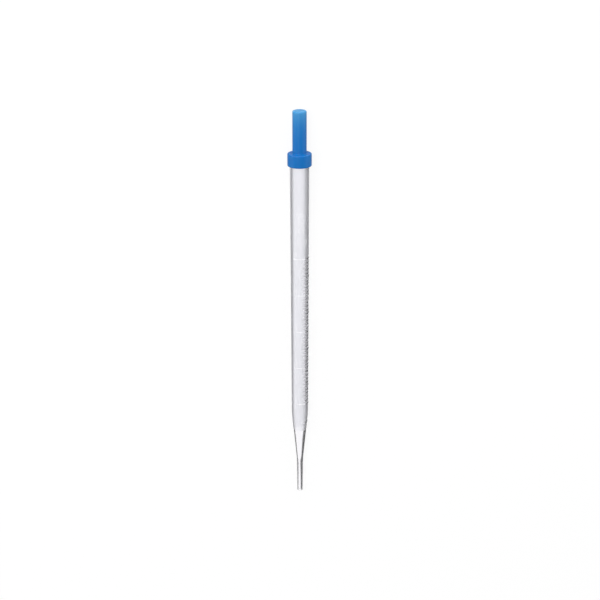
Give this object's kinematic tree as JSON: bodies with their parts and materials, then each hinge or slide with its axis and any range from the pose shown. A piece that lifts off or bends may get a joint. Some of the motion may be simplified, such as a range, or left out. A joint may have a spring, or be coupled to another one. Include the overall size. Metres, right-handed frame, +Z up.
{
  "type": "plastic dropper pipette",
  "caption": "Slim graduated dropper pipette: frosted clear tapered barrel with raised volume marks and a fine clear tip, and a soft blue squeeze bulb with a round collar.",
  "frame": {"origin": "on the bench, under the middle of the pipette as it lies on its collar and the shoulder of its barrel", "axes": "+X from the tip to the bulb, +Z up from the bench with the scale on top, +Y across"},
  "size_m": [0.22, 0.013, 0.0131],
  "materials": {
    "barrel": "clear moulded plastic, frosted from the bulb to the cone, polished on the raised marks and on the tip",
    "bulb": "smooth satin blue elastomer"
  },
  "bodies": {
    "root": {"barrel": "barrel", "bulb": "bulb"}
  },
  "joints": []
}
